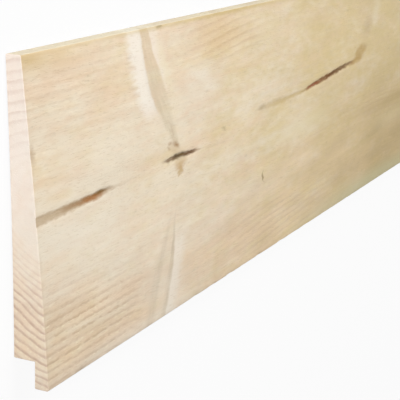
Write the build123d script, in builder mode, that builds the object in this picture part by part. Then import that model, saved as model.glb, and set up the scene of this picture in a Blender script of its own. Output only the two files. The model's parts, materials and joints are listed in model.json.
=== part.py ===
"""Rebated weatherboard: a tapered timber cladding plank, sawn and moulded from one piece.

The plank lies on its flat back. X runs along the grain, Y across the width from the thick
lower edge to the thin upper edge, and Z out of the back towards the sloping front.
The origin is on the back, in the middle of the plank's box.
"""

import os

from build123d import *

# Driving dimensions, in millimetres.
board_length = 1800.0
board_width = 195.0
thin_edge_thickness = 10.0
thick_edge_thickness = 24.0

# The rebate is planed out of the back under the thick edge, and leaves a lip in front of it.
# The thin edge of the next plank down goes into it.
rebate_depth = 14.5
lip_length = 17.0

# Eased corners that the moulder leaves along the plank, and the lighter easing of the sawn ends.
front_arris_radius = 1.2
back_arris_radius = 0.6
end_chamfer = 0.4

# Places across the width that the outline needs.
thin_edge_y = board_width / 2
thick_edge_y = -board_width / 2
shoulder_y = thick_edge_y + lip_length

os.makedirs("parts", exist_ok=True)

with BuildPart() as weatherboard:
    # The section, seen along the grain: a wedge with a step taken out of its thick lower corner.
    with BuildSketch(Plane.YZ) as section:
        with BuildLine():
            Polyline(
                (shoulder_y, 0),
                (thin_edge_y, 0),
                (thin_edge_y, thin_edge_thickness),
                (thick_edge_y, thick_edge_thickness),
                (thick_edge_y, rebate_depth),
                (shoulder_y, rebate_depth),
                close=True,
            )
        make_face()

        # The two front corners, at the thin edge and at the foot of the lip, are eased the most.
        thin_corners = section.vertices().group_by(Axis.X)[-1].sort_by(Axis.Y)
        lip_corners = section.vertices().group_by(Axis.X)[0].sort_by(Axis.Y)
        fillet([thin_corners[-1], lip_corners[-1]], radius=front_arris_radius)

        # The corners that lie against the battens or in the lap keep a smaller radius.
        # The inner corner of the rebate stays sharp, as the cutter leaves it.
        back_corners = section.vertices().group_by(Axis.Y)[0]
        lip_back_corner = section.vertices().group_by(Axis.X)[0].sort_by(Axis.Y)[0]
        fillet([*back_corners, lip_back_corner], radius=back_arris_radius)

    # The section runs the same along the whole plank, to both sides of its middle.
    extrude(amount=board_length / 2, both=True)

    # The cross-cut ends lose only their sharp outer edge.
    end_faces = weatherboard.faces().filter_by(Axis.X)
    chamfer(end_faces.edges(), length=end_chamfer)

weatherboard.part.label = "weatherboard"
export_step(weatherboard.part, "parts/weatherboard.step")
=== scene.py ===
"""Looks of a rebated weatherboard: a fine-sawn spruce cladding plank that lies on its back.

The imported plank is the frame, in metres: X along the grain, Y from the thick lower edge to the thin
upper edge, Z out of the back towards the sloping front. The timber's figure is laid out in
millimetres: along from the near end, across from the middle of the width, and up from the back.
"""

import json
import logging
import math
from dataclasses import dataclass
from enum import Enum
from typing import Iterable, Mapping, Sequence

import bmesh
import bpy
from mathutils import Matrix, Vector, noise


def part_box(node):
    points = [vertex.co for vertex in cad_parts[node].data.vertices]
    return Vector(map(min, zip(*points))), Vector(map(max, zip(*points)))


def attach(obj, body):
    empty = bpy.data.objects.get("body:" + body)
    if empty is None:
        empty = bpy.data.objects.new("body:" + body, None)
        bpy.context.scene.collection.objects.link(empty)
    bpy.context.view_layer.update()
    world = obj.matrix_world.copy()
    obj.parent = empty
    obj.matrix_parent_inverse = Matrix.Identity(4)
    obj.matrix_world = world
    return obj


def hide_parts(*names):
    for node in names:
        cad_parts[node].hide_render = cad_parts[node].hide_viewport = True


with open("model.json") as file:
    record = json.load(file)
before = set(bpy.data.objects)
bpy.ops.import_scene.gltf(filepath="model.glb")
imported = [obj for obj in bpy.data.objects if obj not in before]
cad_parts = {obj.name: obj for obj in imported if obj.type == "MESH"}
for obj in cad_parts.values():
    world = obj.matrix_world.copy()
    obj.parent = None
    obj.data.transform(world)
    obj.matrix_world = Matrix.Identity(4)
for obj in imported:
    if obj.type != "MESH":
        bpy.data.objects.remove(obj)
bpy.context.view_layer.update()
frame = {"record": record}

log = logging.getLogger("weatherboard")

NODE = "weatherboard"
BODY = "root"
MAP_NAME = "OFBake"

# One millimetre, in the frame's metres, and how many of them make a metre.
MM = 0.001
PER_METRE = 1000.0

# How squarely a face looks along an axis to count as an end, as the front, and as flat on an end.
END_FACING = 0.6
FRONT_FACING = 0.8
SQUARE_FACING = 0.9

Colour = tuple[float, float, float, float]
Place = tuple[float, float]
Spot = tuple[float, float, float]
Material = bpy.types.Material
Outputs = bpy.types.bpy_prop_collection
Socket = bpy.types.NodeSocket
SocketNames = Mapping[str, Sequence[str]]
Wire = Socket | float | Sequence[float]


def tint(red: int, green: int, blue: int) -> Colour:
    """Turn a display colour into the linear colour that a shader takes, by the sRGB curve.

    Args:
        red: Red as shown, from 0 to 255.
        green: Green as shown, from 0 to 255.
        blue: Blue as shown, from 0 to 255.

    Returns:
        The linear colour with a full alpha.
    """
    shown = [value / 255 for value in (red, green, blue)]
    linear = [s / 12.92 if s <= 0.04045 else ((s + 0.055) / 1.055) ** 2.4 for s in shown]
    return (linear[0], linear[1], linear[2], 1.0)


class Surface(Enum):
    """The three ways in which the plank's faces are finished, in the order of its material slots."""

    FRONT = 0
    PLANED = 1
    END = 2


class Side(Enum):
    """The sides that the plank's faces are laid out from: which way is right, which up, and the scale."""

    FRONT = ((1.0, 0.0, 0.0), (0.0, 1.0, 0.0), 1.0)
    BACK = ((1.0, 0.0, 0.0), (0.0, -1.0, 0.0), 0.75)
    THIN_EDGE = ((1.0, 0.0, 0.0), (0.0, 0.0, -1.0), 1.0)
    THICK_EDGE = ((1.0, 0.0, 0.0), (0.0, 0.0, 1.0), 1.0)
    NEAR_END = ((0.0, -1.0, 0.0), (0.0, 0.0, 1.0), 1.5)
    FAR_END = ((0.0, 1.0, 0.0), (0.0, 0.0, 1.0), 1.5)

    @classmethod
    def facing(cls, normal: Vector) -> "Side":
        """Pick the side that a face looks out from.

        Args:
            normal: The face's normal.

        Returns:
            The side.
        """
        if abs(normal.x) > END_FACING:
            return cls.NEAR_END if normal.x < 0 else cls.FAR_END
        if abs(normal.z) > abs(normal.y):
            return cls.FRONT if normal.z > 0 else cls.BACK
        return cls.THIN_EDGE if normal.y > 0 else cls.THICK_EDGE

    def flat(self, spot: Vector) -> Vector:
        """Say how far to the right and up a spot lies on this side, in the side's scale."""
        right, up, scale = self.value
        return Vector((spot.dot(Vector(right)), spot.dot(Vector(up)))) * scale


@dataclass(frozen=True)
class Section:
    """The plank's sizes in millimetres: the first four are read from the frame, the others set here."""

    length: float
    width: float
    shoulder: float
    rebate: float
    thin_edge: float = 10.0
    thick_edge: float = 24.0
    cup: float = 1.2

    @classmethod
    def from_frame(cls) -> "Section":
        """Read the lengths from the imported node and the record's mounts.

        Returns:
            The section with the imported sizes.
        """
        low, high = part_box(NODE)
        mounts = {mount["name"]: mount["pos_m"] for mount in frame["record"]["mounts"]}
        return cls(
            length=(high.x - low.x) * PER_METRE,
            width=(high.y - low.y) * PER_METRE,
            shoulder=mounts["rebate_shoulder"][1] * PER_METRE,
            rebate=mounts["rebate_seat"][2] * PER_METRE,
        )

    @property
    def slope(self) -> float:
        """Fall of the front for each millimetre towards the thin edge."""
        return (self.thick_edge - self.thin_edge) / self.width

    @property
    def middle(self) -> float:
        """Thickness in the middle of the width."""
        return (self.thick_edge + self.thin_edge) / 2

    def front(self, across: float) -> float:
        """Height of the flat front over the back, before the plank cupped."""
        return self.middle - self.slope * across

    def rise(self, across: float) -> float:
        """How far the plank has cupped upwards at a place across it."""
        return self.cup * (1 - (2 * across / self.width) ** 2)


@dataclass(frozen=True)
class Lens:
    """A long round patch of the front that fades out at its rim, in millimetres.

    Attributes:
        start: Along and across of its first tip.
        end: Along and across of its other tip.
        half_width: Half its width in the middle.
        softness: Share of the way from its rim to its middle over which it fades out.
    """

    start: Place
    end: Place
    half_width: float
    softness: float

    def cover(self, along: float, across: float) -> float:
        """Work out how fully the patch covers a place on the front.

        Args:
            along: Millimetres from the near end.
            across: Millimetres from the middle of the width.

        Returns:
            A share from 0 outside the patch to 1 in its middle.
        """
        run_x, run_y = self.end[0] - self.start[0], self.end[1] - self.start[1]
        step_x, step_y = along - self.start[0], across - self.start[1]
        share = (step_x * run_x + step_y * run_y) / (run_x * run_x + run_y * run_y)
        off_line = math.hypot(step_x - run_x * share, step_y - run_y * share)
        reach = math.hypot(2 * share - 1, off_line / self.half_width)
        inside = min(max((1 - reach) / self.softness, 0.0), 1.0)
        return inside * inside * (3 - 2 * inside)


@dataclass(frozen=True)
class Mark(Lens):
    """A streak, pocket or fleck in the timber.

    Attributes:
        colour: What it stains the timber.
        strength: How much of the stain shows.
        recess: How deep its middle lies under the face, in millimetres.
    """

    colour: Colour
    strength: float
    recess: float = 0.0


@dataclass(frozen=True)
class RingZone(Lens):
    """A stretch of the front where the saw left the growth rings clear.

    Attributes:
        clarity: How clearly they show.
    """

    clarity: float


@dataclass(frozen=True)
class Branch:
    """A branch that grew out of the pith and was sawn through, in millimetres and degrees.

    Attributes:
        whorl: Where it leaves the pith, from the near end.
        turn: Its direction round the pith, from 0 towards the thin edge to 90 out of the front.
        lean: Millimetres along the plank for each one outwards.
        bend: How much of the lean it loses further out.
        girth: Half its greatest width.
        heart: How strongly its core shows.
        near_rim: How dark its edge is on the side towards the near end.
        far_rim: How dark its other edge is.
        near_halo: How pale the timber is on its side towards the near end.
        far_halo: How pale the timber is on its other side.
        far_spread: How far from its axis that other side stays pale.
        far_from: How far out that other side starts to pale.
        start: How far out it starts to show.
        full: How far out it reaches its girth.
        taper: Share of its girth that it loses again further out.
    """

    whorl: float
    turn: float
    lean: float
    bend: float
    girth: float
    heart: float
    near_rim: float = 0.0
    far_rim: float = 0.0
    near_halo: float = 0.0
    far_halo: float = 0.0
    far_spread: float = 23.0
    far_from: float = 38.0
    start: float = 0.0
    full: float = 45.0
    taper: float = 0.0


def hidden_knot(whorl: float, turn: float) -> Branch:
    """Make a branch that leaves the pith at a whorl and comes out through the back or an edge."""
    return Branch(
        whorl, turn, lean=-0.42, bend=0.001, girth=6.0, heart=0.95, near_rim=0.9, far_rim=0.9, full=20.0
    )


# The pith's line through the plank: along, across and up.
PITH = (
    (0.0, 6.5, 24.0),
    (90.0, 6.5, 21.0),
    (178.0, 8.0, 17.2),
    (310.0, 17.5, 15.6),
    (520.0, 23.5, 15.4),
    (700.0, 21.0, 17.0),
    (930.0, 12.0, 19.5),
    (1200.0, 3.0, 17.5),
    (1450.0, 6.0, 15.0),
    (1800.0, 14.0, 13.0),
)

BRANCHES = (
    Branch(
        177.0, -4.1, -0.66, 0.0024, girth=8.0, heart=0.48,
        near_rim=0.25, near_halo=1.0, far_halo=0.62, taper=0.5,
    ),
    Branch(
        178.5, 175.9, -0.45, 0.0, girth=9.2, heart=0.06,
        near_rim=0.5, far_rim=0.85, far_halo=0.7, far_spread=29.0, far_from=42.0, start=36.0, full=78.0,
    ),
    hidden_knot(176.0, -62.0),
    hidden_knot(181.0, -124.0),
    hidden_knot(548.0, -96.0),
    Branch(935.0, 172.0, -0.5, 0.0008, girth=8.0, heart=0.4, far_rim=0.5, near_halo=0.4, far_halo=0.5),
    hidden_knot(938.0, -70.0),
    Branch(
        1305.0, -5.0, -0.6, 0.0015, girth=8.4, heart=0.45,
        near_rim=0.5, near_halo=0.7, far_halo=0.4, taper=0.4,
    ),
    hidden_knot(1302.0, -118.0),
    Branch(1660.0, 176.0, -0.5, 0.0008, girth=8.0, heart=0.3, far_rim=0.5, near_halo=0.3, far_halo=0.6),
    hidden_knot(1663.0, -58.0),
)

RING_ZONES = (
    RingZone((-190.0, -82.0), (170.0, -84.0), 62.0, 0.6, 0.9),
    RingZone((-130.0, 72.0), (160.0, 66.0), 46.0, 1.0, 0.36),
    RingZone((170.0, 84.0), (355.0, 74.0), 28.0, 1.0, 0.8),
    RingZone((150.0, -72.0), (540.0, -84.0), 34.0, 1.0, 0.36),
    RingZone((430.0, 4.0), (800.0, -40.0), 30.0, 1.0, 0.36),
    RingZone((600.0, -60.0), (1330.0, -66.0), 42.0, 1.0, 0.7),
    RingZone((640.0, 70.0), (1270.0, 74.0), 34.0, 1.0, 0.55),
    RingZone((1280.0, -40.0), (2100.0, -60.0), 50.0, 1.0, 0.75),
    RingZone((1340.0, 64.0), (2100.0, 60.0), 40.0, 1.0, 0.5),
)

TAN = tint(186, 160, 126)
LIGHT_TAN = tint(214, 196, 164)
BROWN = tint(158, 118, 76)
RUST = tint(164, 104, 48)
BARK = tint(58, 38, 10)
RED_BARK = tint(92, 54, 18)
UMBER = tint(116, 84, 32)
OCHRE = tint(188, 154, 94)
AMBER = tint(194, 157, 102)
OLIVE = tint(210, 188, 138)
# Pale greenish painted reflection, for the lower arris.
PAINTED_ARRIS_REFLECTION = tint(204, 202, 164)
HONEY = tint(220, 190, 134)
STRAW_BROWN = tint(198, 172, 116)
PALE_STRAW = tint(236, 222, 186)
# Dusky yellow, which also paints shade.
DUSK_AND_PAINTED_SHADE = tint(190, 166, 118)
MAROON = tint(116, 66, 20)
BRICK = tint(150, 66, 40)
FLECK = tint(148, 128, 92)
CHALK = tint(244, 235, 218)

MARKS = (
    # Broad soft patches: pale and honey-coloured timber, bands along the upper arris, a painted reflection
    # and painted shade.
    Mark((-60.0, -10.0), (150.0, -20.0), 38.0, 1.0, CHALK, 0.52),
    Mark((-150.0, -42.0), (450.0, -42.0), 24.0, 0.7, CHALK, 0.22),
    Mark((-40.0, -97.0), (230.0, -96.0), 13.0, 1.0, CHALK, 0.42),
    Mark((98.0, -72.0), (196.0, -80.0), 29.0, 1.0, CHALK, 0.4),
    Mark((-40.0, -50.0), (72.0, -60.0), 10.0, 1.0, TAN, 0.2),
    Mark((16.0, -72.0), (108.0, -78.0), 9.0, 1.0, TAN, 0.16),
    Mark((10.0, 32.0), (120.0, 26.0), 20.0, 1.0, CHALK, 0.24),
    Mark((172.0, 57.0), (268.0, 45.0), 18.0, 1.0, CHALK, 0.28),
    Mark((190.0, 62.0), (236.0, 52.0), 4.5, 1.0, CHALK, 0.38),
    Mark((204.0, 50.0), (254.0, 43.0), 4.0, 1.0, CHALK, 0.34),
    Mark((149.0, 101.0), (175.0, 38.0), 8.0, 0.8, PALE_STRAW, 0.42),
    Mark((290.0, -12.0), (500.0, -8.0), 18.0, 1.0, PALE_STRAW, 0.65),
    Mark((290.0, 84.0), (380.0, 70.0), 15.0, 1.0, PALE_STRAW, 0.4),
    Mark((550.0, -42.0), (720.0, -42.0), 13.0, 1.0, PALE_STRAW, 0.25),
    # Painted reflection: a pale greenish strip along the lower arris, where light thrown up off the floor
    # falls.
    Mark((300.0, -97.0), (860.0, -97.0), 20.0, 0.9, PAINTED_ARRIS_REFLECTION, 0.6),
    Mark((180.0, 84.0), (325.0, 76.0), 26.0, 1.0, HONEY, 0.42),
    Mark((-90.0, 96.0), (100.0, 94.0), 16.0, 1.0, HONEY, 0.55),
    Mark((-80.0, 97.5), (620.0, 97.5), 4.6, 0.8, OLIVE, 0.75),
    Mark((176.0, 97.5), (350.0, 97.5), 4.4, 0.8, STRAW_BROWN, 0.45),
    Mark((-16.0, 98.0), (26.0, 91.0), 7.0, 1.0, STRAW_BROWN, 0.35),
    # Painted shade with some dusky yellowing, in a band further along.
    Mark((470.0, -26.0), (860.0, -22.0), 8.0, 1.0, DUSK_AND_PAINTED_SHADE, 0.6),
    # The brown streak that runs in from the near end, rusty before it ends.
    Mark((-120.0, 2.2), (98.0, 4.8), 3.9, 0.45, TAN, 0.75, 0.4),
    Mark((-20.0, 3.4), (46.0, 3.8), 1.5, 1.0, LIGHT_TAN, 0.28),
    Mark((8.0, 4.2), (96.0, 5.2), 3.3, 0.9, BROWN, 0.75, 0.6),
    Mark((42.0, 3.8), (82.0, 4.6), 3.2, 0.9, RUST, 0.8, 0.8),
    Mark((56.0, 5.8), (88.0, 5.8), 2.4, 0.9, UMBER, 0.85, 0.8),
    Mark((80.0, 5.4), (94.0, 5.0), 1.7, 1.0, BROWN, 0.2),
    Mark((70.0, 4.8), (130.0, 5.6), 1.6, 1.0, TAN, 0.2),
    # The bark pocket where the first whorl leaves the pith, its tail and the stained wood round it.
    Mark((161.0, 3.2), (191.0, 3.8), 2.4, 0.9, AMBER, 0.42),
    Mark((163.0, 1.0), (188.0, 1.8), 2.6, 0.9, AMBER, 0.62),
    Mark((166.0, -1.4), (184.0, -0.4), 2.6, 0.8, AMBER, 0.75),
    Mark((169.5, -3.8), (180.0, -2.8), 2.2, 0.8, OCHRE, 0.7),
    Mark((171.0, -5.6), (177.0, -5.0), 1.7, 0.9, OCHRE, 0.6),
    Mark((156.0, 18.0), (178.0, 10.5), 6.5, 1.0, TAN, 0.34),
    Mark((160.0, 37.0), (173.0, 13.0), 2.6, 1.0, BROWN, 0.2),
    Mark((157.0, 18.6), (169.0, 17.0), 2.5, 1.0, BROWN, 0.45, 0.2),
    Mark((156.0, 15.2), (164.0, 14.4), 2.0, 1.0, BROWN, 0.38, 0.2),
    Mark((166.0, 18.0), (176.0, 13.4), 3.4, 1.0, BROWN, 0.8, 0.3),
    Mark((144.0, 7.2), (209.0, 6.5), 3.0, 0.8, UMBER, 0.6, 0.4),
    Mark((147.0, 7.1), (180.0, 7.6), 2.2, 0.7, RED_BARK, 0.64, 0.7),
    Mark((162.0, 8.2), (190.0, 7.2), 2.6, 0.7, BARK, 0.8, 1.0),
    Mark((178.0, 7.1), (203.0, 6.3), 2.5, 0.7, RED_BARK, 0.86, 0.8),
    Mark((171.0, 8.0), (185.0, 7.2), 1.4, 1.0, UMBER, 0.65, 0.6),
    Mark((193.0, 6.6), (211.0, 6.4), 1.6, 1.0, BROWN, 0.45),
    Mark((196.0, 6.0), (264.0, 3.0), 1.6, 1.0, TAN, 0.18),
    # The long streak further on, which ends in a small knot.
    Mark((303.0, 17.9), (329.0, 17.4), 3.4, 1.0, FLECK, 0.45, 0.3),
    Mark((304.0, 17.5), (386.0, 16.9), 4.2, 0.8, STRAW_BROWN, 0.6, 0.3),
    Mark((350.0, 17.2), (426.0, 17.8), 2.3, 0.8, STRAW_BROWN, 0.6, 0.3),
    Mark((396.0, 17.2), (544.0, 28.4), 3.4, 0.8, BROWN, 0.55, 0.6),
    Mark((393.0, 17.2), (492.0, 24.8), 2.6, 0.5, MAROON, 0.76, 0.8),
    Mark((398.0, 17.5), (448.0, 21.0), 1.8, 0.8, BRICK, 0.6, 0.8),
    Mark((440.0, 20.8), (534.0, 27.8), 2.5, 0.6, RED_BARK, 0.72, 0.8),
    Mark((508.0, 24.8), (534.0, 26.2), 3.0, 1.0, BROWN, 0.75, 0.6),
    Mark((514.0, 24.6), (552.0, 29.6), 4.6, 0.8, OCHRE, 0.6, 0.2),
    Mark((524.0, 27.5), (564.0, 37.0), 8.8, 0.6, OCHRE, 0.65, 0.2),
    Mark((552.0, 34.6), (568.0, 37.4), 4.5, 1.0, BROWN, 0.2, 0.2),
    Mark((546.0, 44.0), (590.0, 66.0), 15.0, 1.0, TAN, 0.35),
    Mark((574.0, 48.0), (612.0, 84.0), 14.0, 1.0, CHALK, 0.3),
    # Flecks, the ends of rings beside the first branch, a torn tick, and bruised fibres at the near end.
    Mark((311.5, -30.0), (312.5, -43.0), 2.5, 1.0, FLECK, 0.9, 0.3),
    Mark((239.0, 14.2), (252.0, 13.2), 2.8, 1.0, FLECK, 0.38),
    Mark((154.0, 97.2), (166.0, 97.2), 2.6, 1.0, FLECK, 0.6),
    Mark((110.0, 81.6), (123.0, 81.2), 2.0, 1.0, BROWN, 0.25),
    Mark((106.0, 75.2), (126.0, 74.8), 2.0, 1.0, TAN, 0.22),
    Mark((108.0, 61.8), (127.0, 61.2), 2.4, 1.0, TAN, 0.22),
    Mark((112.0, 56.6), (129.0, 57.4), 2.2, 1.0, TAN, 0.2),
    Mark((1.0, 51.0), (3.0, 32.0), 5.0, 1.0, BROWN, 0.4, 0.4),
    # The same kinds of pocket at the later whorls.
    Mark((894.0, 11.5), (974.0, 12.0), 3.2, 0.9, UMBER, 0.85, 1.0),
    Mark((908.0, 11.6), (959.0, 12.0), 2.3, 0.8, BARK, 0.9, 1.8),
    Mark((1000.0, 9.8), (1160.0, 3.8), 2.4, 0.9, STRAW_BROWN, 0.75, 0.3),
    Mark((1264.0, 3.5), (1342.0, 3.0), 3.4, 0.9, UMBER, 0.85, 1.0),
    Mark((1280.0, 3.4), (1328.0, 3.0), 2.4, 0.8, BARK, 0.9, 1.8),
    Mark((1390.0, 3.8), (1540.0, 8.2), 3.0, 0.9, RUST, 0.7, 0.6),
    Mark((1622.0, 9.0), (1700.0, 10.0), 3.0, 0.9, UMBER, 0.8, 1.0),
)


class Wiring:
    """Adds nodes to a node tree and joins them, so that a pattern reads like a sum."""

    def __init__(self, tree: bpy.types.NodeTree) -> None:
        """Keep the tree that the nodes go into."""
        self.tree = tree

    def node(self, kind: str, **settings: object) -> bpy.types.Node:
        """Add a node.

        Args:
            kind: The node's type, without the ShaderNode at its front.
            **settings: Properties to set on it.

        Returns:
            The new node.
        """
        made = self.tree.nodes.new("ShaderNode" + kind)
        for name, value in settings.items():
            setattr(made, name, value)
        return made

    def join(self, wire: Wire, socket: Socket) -> None:
        """Feed a socket from another node's output, or set it to a constant.

        Args:
            wire: An output socket, a number or a row of numbers.
            socket: The input that takes it.
        """
        if isinstance(wire, Socket):
            self.tree.links.new(wire, socket)
        else:
            socket.default_value = wire

    def feed(self, wires: Iterable[Wire], sockets: Iterable[Socket]) -> None:
        """Feed a row of sockets, each from its own wire."""
        for wire, socket in zip(wires, sockets):
            self.join(wire, socket)

    def math(self, operation: str, *terms: Wire) -> Socket:
        """Add a Math node.

        Args:
            operation: The operation's name.
            *terms: Its values, wired or plain.

        Returns:
            The result.
        """
        made = self.node("Math", operation=operation)
        self.feed(terms, made.inputs)
        return made.outputs[0]

    def times(self, product: Wire, *factors: Wire) -> Wire:
        """Multiply a value by one factor after another."""
        for factor in factors:
            product = self.math("MULTIPLY", product, factor)
        return product

    def scaled(self, value: Wire, factor: Wire, base: Wire) -> Socket:
        """Multiply a value by a factor and add the result to a base."""
        return self.math("MULTIPLY_ADD", value, factor, base)

    def hypot(self, first: Wire, second: Wire) -> Socket:
        """Work out the distance that two lengths at a right angle make."""
        return self.math("SQRT", self.math("ADD", self.times(first, first), self.times(second, second)))

    def vector(self, operation: str, *terms: Wire) -> Socket:
        """Add a Vector Math node.

        Args:
            operation: The operation's name.
            *terms: Its vectors, wired or plain. For SCALE the second is the factor.

        Returns:
            The result, a number for DOT_PRODUCT and LENGTH and else a vector.
        """
        made = self.node("VectorMath", operation=operation)
        self.feed(terms, [made.inputs[0], made.inputs["Scale"]] if operation == "SCALE" else made.inputs)
        return made.outputs["Value" if operation in ("DOT_PRODUCT", "LENGTH") else "Vector"]

    def parts(self, place: Wire) -> tuple[Socket, ...]:
        """Take a place apart.

        Args:
            place: The place.

        Returns:
            How far along, across and up it is.
        """
        made = self.node("SeparateXYZ")
        self.join(place, made.inputs[0])
        return tuple(made.outputs)

    def together(self, *lengths: Wire) -> Socket:
        """Put a place together.

        Args:
            *lengths: How far along, across and up it is, with what is left out at zero.

        Returns:
            The place.
        """
        made = self.node("CombineXYZ")
        self.feed(lengths, made.inputs)
        return made.outputs[0]

    def ease(self, value: Wire, start: Wire, stop: Wire) -> Socket:
        """Rise smoothly from 0 at one value to 1 at another, or fall where start is the larger.

        Args:
            value: What is measured.
            start: Where the result is 0.
            stop: Where the result is 1.

        Returns:
            The share from 0 to 1.
        """
        made = self.node("MapRange", interpolation_type="SMOOTHSTEP")
        self.feed((value, start, stop), (made.inputs[name] for name in ("Value", "From Min", "From Max")))
        return made.outputs["Result"]

    def swing(self, place: Wire, pitch: Spot, detail: float = 2.0) -> Socket:
        """Add noise that swings about zero.

        Args:
            place: Where it is read, in millimetres.
            pitch: How long a swing is in each direction, in millimetres.
            detail: How many finer layers the noise has.

        Returns:
            The noise, mostly between -0.5 and 0.5.
        """
        terms = {"Vector": self.vector("DIVIDE", place, pitch), "Scale": 1.0, "Detail": detail}
        made = self.node("TexNoise", noise_dimensions="3D")
        self.feed(terms.values(), (made.inputs[name] for name in terms))
        return self.math("SUBTRACT", made.outputs["Fac"], 0.5)

    def mix(self, share: Wire, under: Wire, over: Wire) -> Socket:
        """Lay one colour over another.

        Args:
            share: How much of the upper colour shows.
            under: The lower colour.
            over: The upper colour.

        Returns:
            The mixed colour.
        """
        made = self.node("Mix", data_type="RGBA")
        colours = [socket for socket in made.inputs if socket.type == "RGBA"]
        self.feed((share, under, over), (made.inputs[0], *colours))
        return next(socket for socket in made.outputs if socket.type == "RGBA")

    def follow(self, along: Wire, stations: Sequence[Place], low: float, high: float) -> Socket:
        """Read a smooth curve through a few stations along the plank.

        Args:
            along: Where it is read, as a share of the plank's length.
            stations: Share of the length and value of each point.
            low: The least value that the curve holds.
            high: The greatest value that the curve holds.

        Returns:
            The curve's value.
        """
        made = self.node("FloatCurve")
        points = made.mapping.curves[0].points
        while len(points) < len(stations):
            points.new(0.5, 0.5)
        for point, (share, value) in zip(points, stations):
            point.location = (share, (value - low) / (high - low))
        made.mapping.update()
        self.join(along, made.inputs["Value"])
        return self.scaled(made.outputs["Value"], high - low, low)

    def seen(self) -> Socket:
        """Tell the rays that show a thing from the rays that only light it.

        Returns:
            1 for a ray from the camera, straight or by way of a gloss or a glass, and else 0.
        """
        path = self.node("LightPath").outputs
        direct = self.math("MAXIMUM", path["Is Camera Ray"], path["Is Glossy Ray"])
        return self.math("MAXIMUM", direct, path["Is Transmission Ray"])


class FigureGroup:
    """A shader node group with named sockets, built once and placed wherever it is needed."""

    KINDS = {"value": "NodeSocketFloat", "vector": "NodeSocketVector", "colour": "NodeSocketColor"}

    def __init__(self, name: str, inputs: SocketNames, outputs: SocketNames) -> None:
        """Make the empty group.

        Args:
            name: The group's name.
            inputs: Names of what it takes, by their kind.
            outputs: Names of what it puts out, by their kind.
        """
        self.tree = bpy.data.node_groups.new(name, "ShaderNodeTree")
        for side, kinds in (("INPUT", inputs), ("OUTPUT", outputs)):
            for kind, names in kinds.items():
                for socket in names:
                    self.tree.interface.new_socket(socket, in_out=side, socket_type=self.KINDS[kind])
        self.wiring = Wiring(self.tree)
        self.given = self.tree.nodes.new("NodeGroupInput").outputs
        self.result = self.tree.nodes.new("NodeGroupOutput").inputs

    def put_out(self, **wires: Wire) -> None:
        """Join what the group has worked out to its outputs, each by its name in small letters."""
        for name, wire in wires.items():
            self.wiring.join(wire, self.result[name.capitalize()])

    def place(self, wiring: Wiring, source: object, **wires: Wire) -> Outputs:
        """Put the group into another tree.

        Args:
            wiring: The other tree's wiring.
            source: What holds a value for each input that isn't wired, by its name in small letters.
            **wires: What goes into the other inputs.

        Returns:
            The outputs of the new group node.
        """
        made = wiring.node("Group", node_tree=self.tree)
        for socket in made.inputs:
            name = socket.name.lower().replace(" ", "_")
            wiring.join(wires[name] if name in wires else getattr(source, name), socket)
        return made.outputs


class MarkGroup(FigureGroup):
    """A long round mark that fades out at its rim."""

    def __init__(self) -> None:
        """Build the mark out of its two tips, half width and softness."""
        super().__init__(
            "streak_or_pocket",
            {"vector": ("Place", "Start", "End"), "value": ("Half Width", "Softness")},
            {"value": ("Cover",)},
        )
        w, given = self.wiring, self.given
        run = w.vector("SUBTRACT", given["End"], given["Start"])
        step = w.vector("SUBTRACT", given["Place"], given["Start"])
        flat_step = w.vector("MULTIPLY", step, (1.0, 1.0, 0.0))
        share = w.math("DIVIDE", w.vector("DOT_PRODUCT", flat_step, run), w.vector("DOT_PRODUCT", run, run))
        off_line = w.vector("LENGTH", w.vector("SUBTRACT", flat_step, w.vector("SCALE", run, share)))
        lengthwise = w.scaled(share, 2.0, -1.0)
        crosswise = w.math("DIVIDE", off_line, given["Half Width"])
        inner = w.math("SUBTRACT", 1.0, given["Softness"])
        self.put_out(cover=w.ease(w.hypot(lengthwise, crosswise), 1.0, inner))


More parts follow.
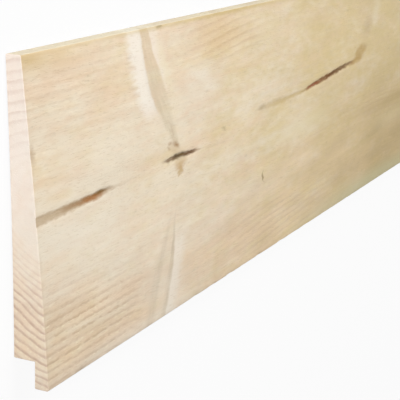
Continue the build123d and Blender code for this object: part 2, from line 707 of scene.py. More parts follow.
class BranchGroup(FigureGroup):
    """A branch through the timber: its core, its rims, the pale wood beside it and the pull on the rings.

    Lengths are in millimetres. A reach counts half widths of the branch from its axis.
    """

    # Width for each millimetre along the plank, and the share of its girth with which it leaves the pith.
    ROUNDNESS = 0.9
    YOUNG = 0.35
    # Where it tapers, over how much it sets in, and where the pale wood sets in on either side of it.
    TAPERS = (40.0, 90.0)
    SETS_IN = 12.0
    NEAR_PALES = (24.0, 42.0)
    FAR_PALES_OVER = 24.0
    # How far the pale wood spreads towards the near end, how much of that a taper takes, and how it frays.
    NEAR_SPREAD = 31.0
    TAPER_LOSS = 11.0
    FRAY = 11.0
    FADES_OVER = (11.0, 14.0)
    # Reaches over which the core fades out, and the rings straighten.
    CORE = (1.5, 0.5)
    PULL = (4.0, 0.8)

    def __init__(self) -> None:
        """Build the branch out of where it leaves the pith and how it grows."""
        super().__init__(
            "branch",
            {
                "vector": ("Place", "Origin", "Outward", "Sideways"),
                "value": (
                    "Lean", "Bend", "Girth", "Start", "Full", "Taper", "Near Rim", "Far Rim",
                    "Near Halo", "Far Halo", "Far Spread", "Far From",
                ),
            },
            {"value": ("Heart", "Rim", "Halo", "Pull")},
        )
        w, given = self.wiring, self.given
        step = w.vector("SUBTRACT", given["Place"], given["Origin"])
        out = w.vector("DOT_PRODUCT", step, given["Outward"])
        side = w.vector("DOT_PRODUCT", step, given["Sideways"])
        along = w.vector("DOT_PRODUCT", step, (1.0, 0.0, 0.0))
        axis = w.math("ADD", w.times(given["Lean"], out), w.times(out, out, given["Bend"]))
        off_axis = w.times(w.math("SUBTRACT", along, axis), self.ROUNDNESS)
        distance = w.hypot(off_axis, side)
        grown = w.scaled(w.ease(out, given["Start"], given["Full"]), 1.0 - self.YOUNG, self.YOUNG)
        lost = w.times(w.ease(out, *self.TAPERS), given["Taper"])
        girth = w.times(given["Girth"], w.times(grown, w.math("SUBTRACT", 1.0, lost)))
        reach = w.math("DIVIDE", distance, girth)
        begun = w.ease(out, given["Start"], w.math("ADD", given["Start"], self.SETS_IN))
        strand = w.together(off_axis, out, side)
        strands = w.scaled(w.swing(strand, (2.6, 50.0, 2.6)), 1.3, 0.8)
        strands = w.scaled(w.swing(strand, (5.0, 14.0, 5.0)), 1.0, strands)
        near = w.ease(off_axis, 0.5, -0.5)
        far = w.ease(off_axis, -0.5, 0.5)

        def beside(near_share: Wire, far_share: Wire) -> Socket:
            """Pick the share of the side that a place lies on."""
            return w.math("ADD", w.times(near, near_share), w.times(far, far_share))

        heart = w.times(w.ease(reach, *self.CORE), begun, strands)
        edge = w.times(w.ease(reach, beside(0.1, 0.45), 0.9), w.ease(reach, beside(1.9, 1.4), 1.0))
        set_in = w.ease(out, w.times(given["Full"], 0.35), w.times(given["Full"], 0.8))
        rim = w.times(edge, set_in, strands, beside(given["Near Rim"], given["Far Rim"]))
        spread = beside(w.scaled(lost, -self.TAPER_LOSS, self.NEAR_SPREAD), given["Far Spread"])
        frayed = w.scaled(w.swing(given["Place"], (12.0, 2.6, 2.6)), self.FRAY, distance)
        faded = w.ease(frayed, spread, w.math("SUBTRACT", spread, beside(*self.FADES_OVER)))
        pale = w.times(w.ease(reach, 0.95, 1.4), faded, beside(given["Near Halo"], given["Far Halo"]))
        far_start = w.ease(out, given["Far From"], w.math("ADD", given["Far From"], self.FAR_PALES_OVER))
        halo = w.times(pale, beside(w.ease(out, *self.NEAR_PALES), far_start))
        self.put_out(heart=heart, rim=rim, halo=halo, pull=w.times(w.ease(reach, *self.PULL), begun))


class TimberGroup(FigureGroup):
    """The spruce itself, right through the plank: rings, branches, streaks and pockets."""

    CREAM = tint(239, 225, 201)
    STRAW = tint(223, 202, 154)
    BLUSH = tint(232, 205, 176)
    FRESH = tint(250, 236, 206)
    PALE = tint(249, 241, 228)
    HEART = tint(204, 188, 157)
    RIM = tint(180, 160, 132)
    # Width of a ring, how far the rings lean over below the pith, and how much wider they are above it.
    RING = 4.6
    RING_LEAN = 24.0
    WIDER_ABOVE = 0.2
    # The furthest that the pith lies from the middle of the back.
    PITH_RANGE = 50.0
    # Long and short waves of the rings, and clouds of shade: the length of a swing, and its depth.
    RING_SWAYS = (((380.0, 60.0, 60.0), 9.0), ((45.0, 14.0, 14.0), 1.6))
    CLOUDS = (((80.0, 22.0, 22.0), 0.13), ((34.0, 9.0, 9.0), 0.11))
    # How straw-coloured the timber is along the plank, and how much dusky yellowing and painted shade it
    # takes: share of the length, and value.
    RIPE = (
        (0.0, 0.04), (0.08, 0.1), (0.145, 0.45), (0.23, 0.72),
        (0.33, 0.85), (0.55, 0.5), (0.8, 0.3), (1.0, 0.45),
    )
    DUSK_AND_SHADE_ALONG = (
        (0.0, 0.0), (0.2, 0.0), (0.26, 0.35), (0.3, 0.6),
        (0.36, 1.0), (0.5, 0.8), (0.65, 0.2), (1.0, 0.1),
    )

    def __init__(self, section: Section) -> None:
        """Build the timber for a plank of one section.

        Args:
            section: The plank's sizes.
        """
        super().__init__(
            "spruce_timber",
            {
                "vector": ("Place",), "colour": ("Ring Colour",),
                "value": ("Ring Contrast", "Plain Clarity", "Broken", "Marks"),
            },
            {"colour": ("Colour",), "value": ("Latewood", "Knot", "Pocket", "Fibre")},
        )
        self.section = section
        self.branch_group = BranchGroup()
        self.mark_group = MarkGroup()
        w = self.wiring
        self.here = self.given["Place"]
        self.along, self.across, self.up = w.parts(self.here)
        self.share = w.math("DIVIDE", self.along, section.length)
        self.nearness = w.scaled(w.ease(self.along, 300.0, 120.0), 0.5, 0.5)
        self.torn = w.times(self.nearness, self.given["Broken"])
        grown = self.branches()
        rings, fresh, radius = self.rings(grown["Pull"])
        clear = self.clarity(grown["Pull"])
        late = w.times(rings, clear)
        fibre = self.swing((60.0, 0.8, 0.8), 3.0)
        plain = self.ground(fibre, w.ease(radius, 22.0, 75.0))
        ringed = self.ringed(plain, late, w.times(fresh, clear))
        marked, pocket = self.marks(self.stain(ringed, grown))
        knot = w.math("MAXIMUM", grown["Heart"], grown["Rim"])
        self.put_out(colour=marked, latewood=late, knot=knot, pocket=pocket, fibre=fibre)

    def swing(self, pitch: Spot, detail: float = 2.0) -> Socket:
        """Add noise that is read where the timber is, with a swing's length and its finer layers."""
        return self.wiring.swing(self.here, pitch, detail)

    def lens(self, place: Wire, patch: Lens) -> Socket:
        """Put one lens-shaped patch into the timber.

        Args:
            place: Where the timber is read.
            patch: The patch.

        Returns:
            How fully it covers the place.
        """
        tips = {"start": (*patch.start, 0.0), "end": (*patch.end, 0.0)}
        return self.mark_group.place(self.wiring, patch, place=place, **tips)["Cover"]

    def pith_at(self, along: float) -> Place:
        """Find the pith at a place along the plank.

        Args:
            along: Millimetres from the near end.

        Returns:
            Its place across and up, in millimetres.
        """
        for before, after in zip(PITH, PITH[1:]):
            if along <= after[0]:
                share = (along - before[0]) / (after[0] - before[0])
                return tuple(b + (a - b) * share for b, a in zip(before[1:], after[1:]))
        return PITH[-1][1:]

    def branches(self) -> dict[str, Socket]:
        """Grow every branch and gather what they do to the timber.

        Returns:
            The heart, rim, halo and pull of all the branches together.
        """
        w = self.wiring
        gathered: dict[str, Socket] = {}
        sway = w.vector("SCALE", (1.0, 0.4, 0.0), self.swing((14.0, 8.0, 8.0), 3.0))
        bent = w.vector("ADD", self.here, w.vector("SCALE", sway, 4.5))
        for branch in BRANCHES:
            turn = math.radians(branch.turn)
            grown = dict(self.branch_group.place(
                w, branch, place=bent, origin=(branch.whorl, *self.pith_at(branch.whorl)),
                outward=(0.0, math.cos(turn), math.sin(turn)),
                sideways=(0.0, -math.sin(turn), math.cos(turn)),
            ).items())
            grown["Heart"] = w.times(grown["Heart"], branch.heart)
            for name, wire in grown.items():
                gathered[name] = w.math("MAXIMUM", gathered[name], wire) if name in gathered else wire
        return gathered

    def rings(self, pull: Wire) -> tuple[Socket, ...]:
        """Lay the growth rings round the pith, leaning over on the side of the thick edge.

        Args:
            pull: How much a branch draws the rings outwards.

        Returns:
            How much of the place is dark latewood, how much is the first pale wood of a ring, both from 0
            to 1, and how far it lies from the pith.
        """
        w = self.wiring
        across, up = (
            w.follow(
                self.share, [(point[0] / self.section.length, point[axis]) for point in PITH],
                -self.PITH_RANGE, self.PITH_RANGE,
            )
            for axis in (1, 2)
        )
        beside = w.math("SUBTRACT", self.across, across)
        up = w.scaled(w.ease(beside, 0.0, -55.0), self.RING_LEAN, up)
        radius = w.hypot(beside, w.math("SUBTRACT", self.up, up))
        for pitch, sway in self.RING_SWAYS:
            radius = w.scaled(self.swing(pitch), sway, radius)
        above = w.ease(beside, 0.0, 30.0)
        radius = w.scaled(w.times(self.swing((240.0, 7.0, 30.0)), above), 3.5, radius)
        radius = w.times(radius, w.scaled(above, -self.WIDER_ABOVE, 1.0))
        radius = w.scaled(w.times(self.swing((4.5, 7.0, 7.0)), self.torn), 2.0, radius)
        radius = w.times(radius, w.scaled(pull, -0.05, 1.0))
        number = w.math("DIVIDE", radius, self.RING)
        phase = w.math("FRACT", number)
        whole = w.math("FLOOR", number)
        lot = w.node("TexWhiteNoise", noise_dimensions="1D")
        w.join(whole, lot.inputs["W"])
        strength = w.scaled(lot.outputs["Value"], 0.35, 0.65)
        mature = w.scaled(w.ease(radius, 18.0, 55.0), 0.9, 0.1)
        late = w.times(w.ease(phase, 0.42, 0.8), w.ease(phase, 1.0, 0.86), strength, mature)
        fresh = w.times(w.ease(phase, 0.0, 0.05), w.ease(phase, 0.4, 0.1), mature)
        return late, fresh, radius

    def clarity(self, pull: Wire) -> Socket:
        """Say how clearly the rings show, which the saw's torn fibres mostly hide.

        Args:
            pull: How near a branch is.

        Returns:
            The share of the rings that shows.
        """
        w = self.wiring
        clear = self.given["Plain Clarity"]
        for zone in RING_ZONES:
            clear = w.scaled(self.lens(self.here, zone), zone.clarity, clear)
        gaps = w.ease(self.swing((6.0, 3.0, 3.0), 3.0), 0.08, -0.18)
        broken = w.scaled(w.times(gaps, self.torn), -0.75, 1.0)
        quiet = w.scaled(pull, -0.85, 1.0)
        return w.times(w.math("MINIMUM", clear, 1.0), w.times(broken, quiet))

    def ground(self, fibre: Wire, outer: Wire) -> Socket:
        """Colour the clear timber.

        Args:
            fibre: Noise that follows the fibres.
            outer: How far the place is from the paler timber round the pith, from 0 to 1.

        Returns:
            The colour.
        """
        w = self.wiring
        straw = w.scaled(outer, 0.12, w.follow(self.share, self.RIPE, 0.0, 1.0))
        straw = w.scaled(self.swing((70.0, 22.0, 22.0), 3.0), 1.6, straw)
        straw = w.scaled(self.swing((16.0, 5.0, 5.0)), 1.0, straw)
        colour = w.mix(w.ease(straw, -0.1, 1.1), self.CREAM, self.STRAW)
        blush = w.scaled(outer, 0.22, self.swing((60.0, 16.0, 16.0), 3.0))
        blush = w.scaled(self.swing((14.0, 5.0, 5.0)), 0.6, blush)
        rosy = w.scaled(w.ease(self.along, 220.0, 440.0), -0.35, 0.75)
        colour = w.mix(w.times(w.ease(blush, -0.18, 0.42), rosy), colour, self.BLUSH)
        # Painted shade with some dusky yellowing: darker further along the plank and towards its lower
        # edge.
        dusk_and_shade = w.times(w.follow(self.share, self.DUSK_AND_SHADE_ALONG, 0.0, 1.0), w.ease(self.across, 60.0, -80.0), 0.7)
        colour = w.mix(dusk_and_shade, colour, DUSK_AND_PAINTED_SHADE)
        flecks = self.swing((8.0, 2.2, 2.2), 3.0)
        shade = w.scaled(flecks, -0.08, 1.0)
        shade = w.scaled(w.ease(flecks, 0.13, 0.3), -0.11, shade)
        shade = w.scaled(w.ease(flecks, -0.13, -0.3), 0.05, shade)
        lower = w.scaled(w.ease(self.across, 10.0, -50.0), 0.8, 1.0)
        for pitch, depth in self.CLOUDS:
            shade = w.scaled(w.times(self.swing(pitch), lower), depth, shade)
        return w.vector("SCALE", colour, w.scaled(fibre, 0.1, shade))

    def ringed(self, colour: Wire, late: Wire, fresh: Wire) -> Socket:
        """Lay the rings over the clear timber, with pale torn fibres where a new ring starts.

        Args:
            colour: The clear timber's colour.
            late: How much latewood is there.
            fresh: How much of the place is the start of a ring.

        Returns:
            The colour with the rings in it.
        """
        w, given = self.wiring, self.given
        colour = w.mix(w.times(late, given["Ring Contrast"]), colour, given["Ring Colour"])
        tufts = w.ease(self.swing((5.0, 2.0, 2.0)), -0.06, 0.2)
        return w.mix(w.times(fresh, tufts, self.nearness, 0.75), colour, self.FRESH)

    def stain(self, colour: Wire, grown: Mapping[str, Wire]) -> Socket:
        """Lay the branches over the clear timber.

        Args:
            colour: The clear timber's colour.
            grown: What the branches do.

        Returns:
            The colour with the branches in it.
        """
        w = self.wiring
        colour = w.mix(w.times(grown["Halo"], 0.8), colour, self.PALE)
        colour = w.mix(grown["Heart"], colour, self.HEART)
        return w.mix(w.times(grown["Rim"], 0.7), colour, self.RIM)

    def marks(self, colour: Wire) -> tuple[Socket, Socket]:
        """Lay the streaks, pockets and flecks of the front over the timber.

        Args:
            colour: The timber's colour.

        Returns:
            The colour with the marks in it, and how much of a pocket is there.
        """
        w = self.wiring
        # This node is added before those that feed it. Cycles then works the marks out after most of the
        # timber, and has room for them.
        ragged = w.node("CombineXYZ")
        w.join(w.times(self.swing((9.0, 4.0, 4.0), 3.0), 11.0), ragged.inputs["X"])
        w.join(w.times(self.swing((7.0, 3.0, 3.0), 3.0), 2.6), ragged.inputs["Y"])
        torn = w.vector("ADD", self.here, ragged.outputs[0])
        uneven = w.scaled(self.swing((7.0, 1.6, 1.6)), 0.7, 0.95)
        shown = w.times(w.math("MINIMUM", uneven, 1.0), self.given["Marks"])
        pocket = w.times(shown, 0.0)
        for mark in MARKS:
            cover = w.times(self.lens(torn, mark), shown)
            colour = w.mix(w.times(cover, mark.strength), colour, mark.colour)
            if mark.recess:
                pocket = w.math("MAXIMUM", pocket, cover)
        return colour, pocket


class ToolMarksGroup(FigureGroup):
    """What the saw or the cutters leave on a face: bars across it and torn fibres."""

    BAR_HEIGHT = 0.06
    BAR_WANDER = 6.0

    def __init__(self) -> None:
        """Build the marks out of their pitch and slant."""
        super().__init__(
            "tool_marks",
            {"vector": ("Place",), "value": ("Bar Pitch", "Bar Slant", "Torn")},
            {"value": ("Height", "Fuzz")},
        )
        w, given = self.wiring, self.given
        place = given["Place"]
        along, across, _ = w.parts(place)
        slanted = w.scaled(across, given["Bar Slant"], along)
        wavering = w.scaled(w.swing(place, (40.0, 60.0, 60.0)), self.BAR_WANDER, slanted)
        turns = w.times(w.math("DIVIDE", wavering, given["Bar Pitch"]), 2 * math.pi)
        patch = w.ease(w.swing(place, (50.0, 30.0, 30.0)), -0.15, 0.25)
        bars = w.times(w.math("SINE", turns), patch)
        fuzz = w.ease(w.swing(place, (5.0, 0.9, 0.9), 3.0), 0.03, 0.24)
        torn = w.times(fuzz, given["Torn"])
        self.put_out(height=w.math("SUBTRACT", w.times(bars, self.BAR_HEIGHT), torn), fuzz=torn)


@dataclass(frozen=True)
class Finish:
    """How one kind of face was worked.

    Attributes:
        name: The material's name.
        ring_colour: The latewood's colour.
        ring_contrast: How dark the latewood is.
        plain_clarity: How clearly the rings show where nothing else helps.
        broken: How far the tool broke the rings up into dashes.
        marks: How much of the front's streaks and pockets the face shows.
        tint_and_painted_light: The colour that the timber takes on.
        tint_and_painted_light_shares: How much of that colour shows at the lower and at the upper edge.
        bruise: How much the fibres are bruised along the cross-cut ends.
        bar_pitch: Distance between the tool's bars, in millimetres.
        bar_slant: Millimetres that a bar moves along for each one across.
        torn: How much of the fibre is torn up.
        roughness: The clear timber's roughness.
        relief: How deep the tool's marks are, in millimetres.
    """

    name: str
    ring_colour: Colour
    ring_contrast: float
    plain_clarity: float
    broken: float
    marks: float
    tint_and_painted_light: Colour
    # tint_and_painted_light_shares: How much of that colour shows at the lower and at the upper edge; on
    # the cross-cut end, what the upper edge gains is painted light.
    tint_and_painted_light_shares: tuple[float, float]
    bruise: float
    bar_pitch: float
    bar_slant: float
    torn: float
    roughness: float
    relief: float

    TORN_SHADE = tint(214, 190, 156)
    BRUISED = tint(198, 172, 148)
    # How far from an end the bruise fades out, in millimetres, and how much a dry face shines.
    BRUISE_FADES = (4.0, 0.3)
    SHINE = 0.25

    def material(self, timber: TimberGroup, tool_marks: ToolMarksGroup, section: Section) -> Material:
        """Dress the timber with this finish.

        Args:
            timber: The timber's group.
            tool_marks: The tool marks' group.
            section: The plank's sizes.

        Returns:
            The finished material.
        """
        made = bpy.data.materials.new(self.name)
        made.use_nodes = True
        w = Wiring(made.node_tree)
        shader = made.node_tree.nodes["Principled BSDF"].inputs
        local = w.node("TexCoord").outputs["Object"]
        measured = w.node("Mapping")
        w.join(local, measured.inputs["Vector"])
        w.join((section.length / 2, 0.0, 0.0), measured.inputs["Location"])
        w.join((PER_METRE, PER_METRE, PER_METRE), measured.inputs["Scale"])
        place = measured.outputs["Vector"]
        wood = timber.place(w, self, place=place)
        worked = tool_marks.place(w, self, place=place)
        colour = w.mix(w.times(worked["Fuzz"], 0.3), wood["Colour"], self.TORN_SHADE)
        along, across, _ = w.parts(place)
        # Painted light: the timber pales towards the thin, upper edge by the upper share, over a real tint
        # by the lower share.
        upper = w.ease(across, -section.width / 3, section.width / 4)
        lower_share, upper_share = self.tint_and_painted_light_shares
        tint_and_painted_light_share = w.scaled(upper, upper_share - lower_share, lower_share)
        tint_and_painted_light_share = w.times(tint_and_painted_light_share, w.scaled(wood["Latewood"], -0.3, 1.0))
        colour = w.mix(tint_and_painted_light_share, colour, self.tint_and_painted_light)
        inset = w.math("MINIMUM", along, w.math("SUBTRACT", section.length, along))
        spots = w.ease(w.swing(place, (6.0, 7.0, 7.0)), -0.15, 0.2)
        bruised = w.times(w.ease(inset, *self.BRUISE_FADES), spots, self.bruise)
        w.join(w.mix(bruised, colour, self.BRUISED), shader["Base Color"])
        rough = w.scaled(wood["Latewood"], -0.12, self.roughness)
        rough = w.scaled(wood["Pocket"], 0.15, rough)
        w.join(w.scaled(wood["Knot"], -0.1, rough), shader["Roughness"])
        w.join(self.SHINE, shader["Specular IOR Level"])
        grain = w.scaled(wood["Fibre"], 0.6, w.times(wood["Latewood"], 0.4))
        height = w.math("ADD", worked["Height"], grain)
        bump = w.node("Bump")
        w.join(self.relief * MM, bump.inputs["Distance"])
        w.join(1.0, bump.inputs["Strength"])
        w.join(height, bump.inputs["Height"])
        w.join(bump.outputs["Normal"], shader["Normal"])
        return made


FINISHES = {
    Surface.FRONT: Finish(
        "fine_sawn_front", tint(192, 160, 126), ring_contrast=0.58, plain_clarity=0.1, broken=1.0,
        marks=1.0, tint_and_painted_light=HONEY, tint_and_painted_light_shares=(0.0, 0.0), bruise=0.2,
        bar_pitch=3.7, bar_slant=0.06, torn=0.8, roughness=0.82, relief=0.12,
    ),
    Surface.PLANED: Finish(
        "planed_back_and_edges", tint(199, 166, 130), ring_contrast=0.8, plain_clarity=0.45, broken=0.4,
        marks=0.0, tint_and_painted_light=tint(227, 220, 193), tint_and_painted_light_shares=(0.0, 0.6), bruise=0.3,
        bar_pitch=6.0, bar_slant=0.0, torn=0.15, roughness=0.68, relief=0.05,
    ),
    # The cross-cut end pales towards its upper edge: painted light over a pinkish tint.
    Surface.END: Finish(
        "cross_cut_end", tint(186, 146, 120), ring_contrast=0.76, plain_clarity=0.5, broken=0.5,
        marks=0.0, tint_and_painted_light=tint(247, 236, 229), tint_and_painted_light_shares=(0.18, 0.68), bruise=0.0,
        bar_pitch=4.0, bar_slant=0.3, torn=0.5, roughness=0.88, relief=0.15,
    ),
}


def add_object(name: str, data: bpy.types.ID) -> bpy.types.Object:
    """Make an object and put it into the scene.

    Args:
        name: Its name.
        data: Its mesh, camera or light.

    Returns:
        The object.
    """
    made = bpy.data.objects.new(name, data)
    bpy.context.scene.collection.objects.link(made)
    return made


def add_mesh(name: str, bm: bmesh.types.BMesh, materials: Iterable[Material]) -> bpy.types.Object:
    """Turn worked geometry into an object in the scene.

    Args:
        name: The object's name.
        bm: The geometry, which is freed.
        materials: Its materials, in the order of their slots.

    Returns:
        The object.
    """
    mesh = bpy.data.meshes.new(name)
    bm.to_mesh(mesh)
    bm.free()
    for material in materials:
        mesh.materials.append(material)
    return add_object(name, mesh)


@dataclass
class Plank:
    """The plank's timber as one mesh, with its arrises, recesses and the cup it dried to.

    Lengths are in millimetres, and the mesh is made in the frame's metres.
    """

    section: Section
    materials: Sequence[Material]
    front_arris: float = 1.2
    back_arris: float = 0.6
    arris_steps: int = 4
    end_easing: float = 0.4
    crease: float = math.radians(40)
    seen_length: float = 690.0
    seen_stations: int = 276
    far_stations: int = 150
    fine_from: float = -4.0
    fine_to: float = 44.0
    fine_step: float = 1.2
    coarse_step: float = 3.3
    line_clearance: float = 2.0
    edge_rows: Sequence[float] = (2.5, 5.0, 7.5)
    end_rows: Sequence[float] = (10.5, 13.5, 16.5, 19.5)
    wave: float = 0.12
    wave_pitch: Place = (90.0, 24.0)
    nick: float = 0.5
    nick_pitch: float = 14.0
    nick_threshold: float = 0.1
    tear: float = 0.22
    tear_pitch: float = 3.0
    map_margin: float = 8.0

    def build(self) -> bpy.types.Object:
        """Make the plank and put it into the scene.

        Returns:
            The finished object.
        """
        bm = bmesh.new()
        self.run_out(bm, self.outline(bm))
        self.cut_grid(bm)
        self.sort_faces(bm)
        self.lay_map(bm)
        self.relieve(bm)
        for edge in bm.edges:
            edge.smooth = edge.calc_face_angle(0.0) < self.crease
        for face in bm.faces:
            face.smooth = True
        return add_mesh("weatherboard_timber", bm, self.materials)

    def outline(self, bm: bmesh.types.BMesh) -> bmesh.types.BMFace:
        """Draw the section at the near end and ease its corners.

        Args:
            bm: The mesh that takes it.

        Returns:
            The section's face.
        """
        s = self.section
        half = s.width / 2
        front = [(half, s.thin_edge), (-half, s.thick_edge)]
        back = [(-half, s.rebate), (s.shoulder, 0.0), (half, 0.0)]
        inner = (s.shoulder, s.rebate)
        rim = [front[0], front[1], back[0], inner, back[1], back[2]]
        corners = {p: bm.verts.new((-s.length / 2 * MM, p[0] * MM, p[1] * MM)) for p in rim}
        bm.faces.new([corners[p] for p in rim])
        for places, radius in ((front, self.front_arris), (back, self.back_arris)):
            bmesh.ops.bevel(
                bm, geom=[corners[p] for p in places], offset=radius * MM, offset_type="OFFSET",
                segments=self.arris_steps, profile=0.5, affect="VERTICES", material=-1,
            )
        return next(iter(bm.faces))

    def run_out(self, bm: bmesh.types.BMesh, near: bmesh.types.BMFace) -> None:
        """Run the section along the plank and ease the two ends.

        Args:
            bm: The mesh.
            near: The section's face at the near end.
        """
        run = bmesh.ops.extrude_face_region(bm, geom=[near])
        moved = [item for item in run["geom"] if isinstance(item, bmesh.types.BMVert)]
        bmesh.ops.translate(bm, verts=moved, vec=(self.section.length * MM, 0.0, 0.0))
        bmesh.ops.recalc_face_normals(bm, faces=bm.faces)
        rims = list({edge for face in self.cut_ends(bm) for edge in face.edges})
        bmesh.ops.bevel(
            bm, geom=rims, offset=self.end_easing * MM, offset_type="OFFSET",
            segments=1, profile=0.5, affect="EDGES", material=-1,
        )

    def cut_ends(self, bm: bmesh.types.BMesh) -> list[bmesh.types.BMFace]:
        """List the flat faces of the two cross-cut ends."""
        return [face for face in bm.faces if abs(face.normal.x) > SQUARE_FACING]

    def lines_across(self) -> list[float]:
        """List where the mesh is cut across its width, close together round the pith.

        Returns:
            Places across the plank, in millimetres.
        """
        half = self.section.width / 2
        lines: list[float] = []
        for start, stop, step in (
            (-half, self.fine_from, self.coarse_step),
            (self.fine_from, self.fine_to, self.fine_step),
            (self.fine_to, half, self.coarse_step),
        ):
            count = round((stop - start) / step)
            lines += [start + (stop - start) * k / count for k in range(1, count + 1)]
        edges = (half, self.section.shoulder)
        return [line for line in lines if min(abs(line - edge) for edge in edges) > self.line_clearance]

    def cut_grid(self, bm: bmesh.types.BMesh) -> None:
        """Cut the plank into a grid that is fine enough to carry its relief.

        Args:
            bm: The mesh.
        """

        def cut(place: Spot, normal: Spot, faces: Sequence[bmesh.types.BMFace]) -> None:
            """Cut some faces along a plane."""
            edges = {edge for face in faces for edge in face.edges}
            bmesh.ops.bisect_plane(
                bm, geom=[*faces, *edges, *{v for e in edges for v in e.verts}],
                plane_co=Vector(place) * MM, plane_no=normal, dist=1e-7,
            )

        for line in self.lines_across():
            cut((0, line, 0), (0, 1, 0), list(bm.faces))
        for row in self.edge_rows:
            cut((0, 0, row), (0, 0, 1), list(bm.faces))
        border = self.seen_length - self.section.length / 2
        cut((border, 0, 0), (1, 0, 0), list(bm.faces))
        for seen, stations in ((True, self.seen_stations), (False, self.far_stations)):
            runs = [
                edge for edge in bm.edges
                if edge.calc_length() > self.seen_length * MM / 2
                and (edge.verts[0].co.x + edge.verts[1].co.x < 2 * border * MM) == seen
            ]
            bmesh.ops.subdivide_edges(bm, edges=runs, cuts=stations - 1, use_grid_fill=True)
        for row in self.end_rows:
            cut((0, 0, row), (0, 0, 1), self.cut_ends(bm))

    def sort_faces(self, bm: bmesh.types.BMesh) -> None:
        """Give each face the material of its surface.

        Args:
            bm: The mesh.
        """
        bm.normal_update()
        for face in bm.faces:
            surface = Surface.PLANED
            if abs(face.normal.x) > END_FACING:
                surface = Surface.END
            elif face.normal.z > FRONT_FACING:
                surface = Surface.FRONT
            face.material_index = surface.value

    def lay_map(self, bm: bmesh.types.BMesh) -> None:
        """Lay the faces out flat in rows, each side in strips, for the maps of the finished plank.

        Args:
            bm: The mesh, before its faces are bent.
        """
        layer = bm.loops.layers.uv.new(MAP_NAME)
        sheet = self.section.length / 2 + 2 * self.map_margin
        cursor = self.map_margin
        for side in Side:
            faces = [face for face in bm.faces if side is Side.facing(face.normal)]
            for near in (True, False):
                strip = [face for face in faces if (face.calc_center_median().x < 0) == near]
                if not strip:
                    continue
                spots = {loop: side.flat(loop.vert.co * PER_METRE) for face in strip for loop in face.loops}
                rights = [spot.x for spot in spots.values()]
                ups = [spot.y for spot in spots.values()]
                low = Vector((min(rights), min(ups)))
                for loop, spot in spots.items():
                    loop[layer].uv = (spot - low + Vector((self.map_margin, cursor))) / sheet
                cursor += max(ups) - low.y + self.map_margin

    def relieve(self, bm: bmesh.types.BMesh) -> None:
        """Sink the pockets, wear the arrises, tear the ends and cup the whole plank.

        Args:
            bm: The mesh.
        """
        s = self.section
        for vert in bm.verts:
            along = vert.co.x * PER_METRE + s.length / 2
            across, up = vert.co.y * PER_METRE, vert.co.z * PER_METRE
            surfaces = {Surface(face.material_index) for face in vert.link_faces}
            spot = Vector((along, across, up))
            move = Vector((0.0, 0.0, s.rise(across)))
            if Surface.FRONT in surfaces:
                move.z -= max(mark.recess * mark.cover(along, across) for mark in MARKS if mark.recess)
                long_spot = Vector((along / self.wave_pitch[0], across / self.wave_pitch[1], 0.0))
                move.z += self.wave * noise.noise(long_spot)
            if Surface.END in surfaces:
                inward = 1.0 if along < s.length / 2 else -1.0
                move.x += inward * self.tear * (0.5 + 0.5 * noise.noise(spot / self.tear_pitch))
            edge = s.width / 2 - abs(across)
            if edge < self.front_arris and up > s.front(across) - 2 * self.front_arris:
                wear = noise.noise(Vector((along / self.nick_pitch, across, 0.0)))
                worn = max(wear - self.nick_threshold, 0.0)
                move.y -= math.copysign(self.nick * worn, across)
                move.z -= self.nick * worn
            vert.co += move * MM


@dataclass(frozen=True)
class PhotoCamera:
    """The camera that sees the plank as the photograph does, in the frame's metres."""

    place: Spot = (-1.4548, 0.1972, 0.3953)
    forward: Spot = (0.8652, -0.2597, -0.4289)
    upward: Spot = (0.2262, 0.9656, -0.1283)
    lens: float = 111.23
    sensor: float = 36.0

    def build(self) -> bpy.types.Object:
        """Make the camera and look through it.

        Returns:
            The camera's object.
        """
        data = bpy.data.cameras.new("photo_camera")
        data.lens, data.sensor_width = self.lens, self.sensor
        made = add_object("photo_camera", data)
        back = -Vector(self.forward).normalized()
        right = Vector(self.upward).cross(back).normalized()
        turned = Matrix((right, back.cross(right), back)).transposed()
        made.matrix_world = Matrix.Translation(self.place) @ turned.to_4x4()
        bpy.context.scene.camera = made
        return made


@dataclass(frozen=True)
class Lamp:
    """A soft square lamp.

    Attributes:
        name: What it is for.
        place: Where it hangs, in metres.
        target: What it points at, in metres.
        size: The length of its sides, in metres.
        power: Its power in watts.
    """

    name: str
    place: Spot
    target: Spot
    size: float
    power: float

    def build(self) -> bpy.types.Object:
        """Hang the lamp.

        Returns:
            The lamp's object.
        """
        data = bpy.data.lights.new(self.name, "AREA")
        data.shape, data.size, data.energy = "SQUARE", self.size, self.power
        made = add_object(self.name, data)
        made.location = self.place
        made.rotation_euler = (Vector(self.target) - Vector(self.place)).to_track_quat("-Z", "Y").to_euler()
        return made


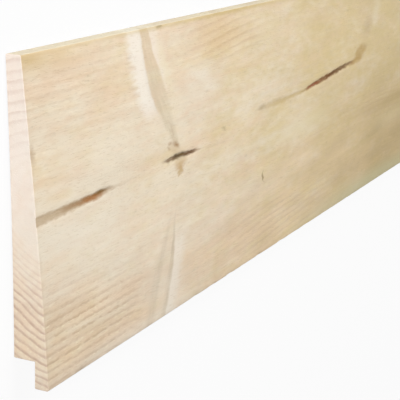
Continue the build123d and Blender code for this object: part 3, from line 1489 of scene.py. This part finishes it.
@dataclass(frozen=True)
class Studio:
    """A pale floor under plain soft light."""

    floor_radius: float = 40.0
    floor_shade: float = 0.8
    paper_white: float = 0.92
    sky: float = 0.28
    lamps: Sequence[Lamp] = (
        Lamp("key", (-0.81, 0.56, 0.81), (-0.29, 0.0, 0.0), 0.5, 6.0),
        Lamp("end_fill", (-2.1, 0.45, 0.42), (-0.9, 0.0, 0.01), 0.5, 9.6),
        Lamp("far_fill", (0.85, 0.3, 0.9), (0.7, 0.0, 0.0), 0.6, 5.0),
    )

    def build(self) -> list[bpy.types.Object]:
        """Set up the sky, the floor and the lamps, and list the floor and the lamps."""
        self.light_sky()
        return [self.lay_floor(), *(lamp.build() for lamp in self.lamps)]

    def lay_floor(self) -> bpy.types.Object:
        """Lay the floor that the plank rests on.

        Returns:
            The floor's object.
        """
        bm = bmesh.new()
        bmesh.ops.create_circle(bm, cap_ends=True, segments=64, radius=self.floor_radius)
        made = add_mesh("floor", bm, [self.floor_material()])
        return made

    def floor_material(self) -> Material:
        """Make a floor that looks like white paper to the camera and still takes a shadow.

        Returns:
            The floor's material.
        """
        made = bpy.data.materials.new("pale_floor")
        made.use_nodes = True
        made.node_tree.nodes.clear()
        w = Wiring(made.node_tree)
        matte = w.node("BsdfDiffuse")
        w.join((self.floor_shade,) * 3 + (1.0,), matte.inputs["Color"])
        paper = w.node("Emission")
        blend = w.node("MixShader")
        shown = w.times(w.seen(), self.paper_white)
        w.feed((shown, matte.outputs[0], paper.outputs[0]), blend.inputs)
        w.join(blend.outputs[0], w.node("OutputMaterial").inputs["Surface"])
        return made

    def light_sky(self) -> None:
        """Fill the scene with even light, and show the sky as white."""
        world = bpy.data.worlds.new("soft_sky")
        bpy.context.scene.world = world
        world.use_nodes = True
        w = Wiring(world.node_tree)
        background = world.node_tree.nodes["Background"].inputs
        w.join((1.0, 1.0, 1.0, 1.0), background["Color"])
        w.join(w.scaled(w.seen(), 1.0 - self.sky, self.sky), background["Strength"])


def main() -> None:
    """Build the plank, the camera and the light."""
    logging.basicConfig(level=logging.INFO)
    bpy.context.scene.view_settings.view_transform = "Standard"
    section = Section.from_frame()
    timber, tool_marks = TimberGroup(section), ToolMarksGroup()
    materials = [FINISHES[surface].material(timber, tool_marks, section) for surface in Surface]
    plank = Plank(section, materials).build()
    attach(plank, BODY)
    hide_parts(NODE)
    log.info("%s has %d faces", plank.name, len(plank.data.polygons))
    log.info("%s looks from %s", PhotoCamera().build().name, PhotoCamera.place)
    for made in Studio().build():
        log.info("%s is in place", made.name)


if __name__ == "__main__":
    main()
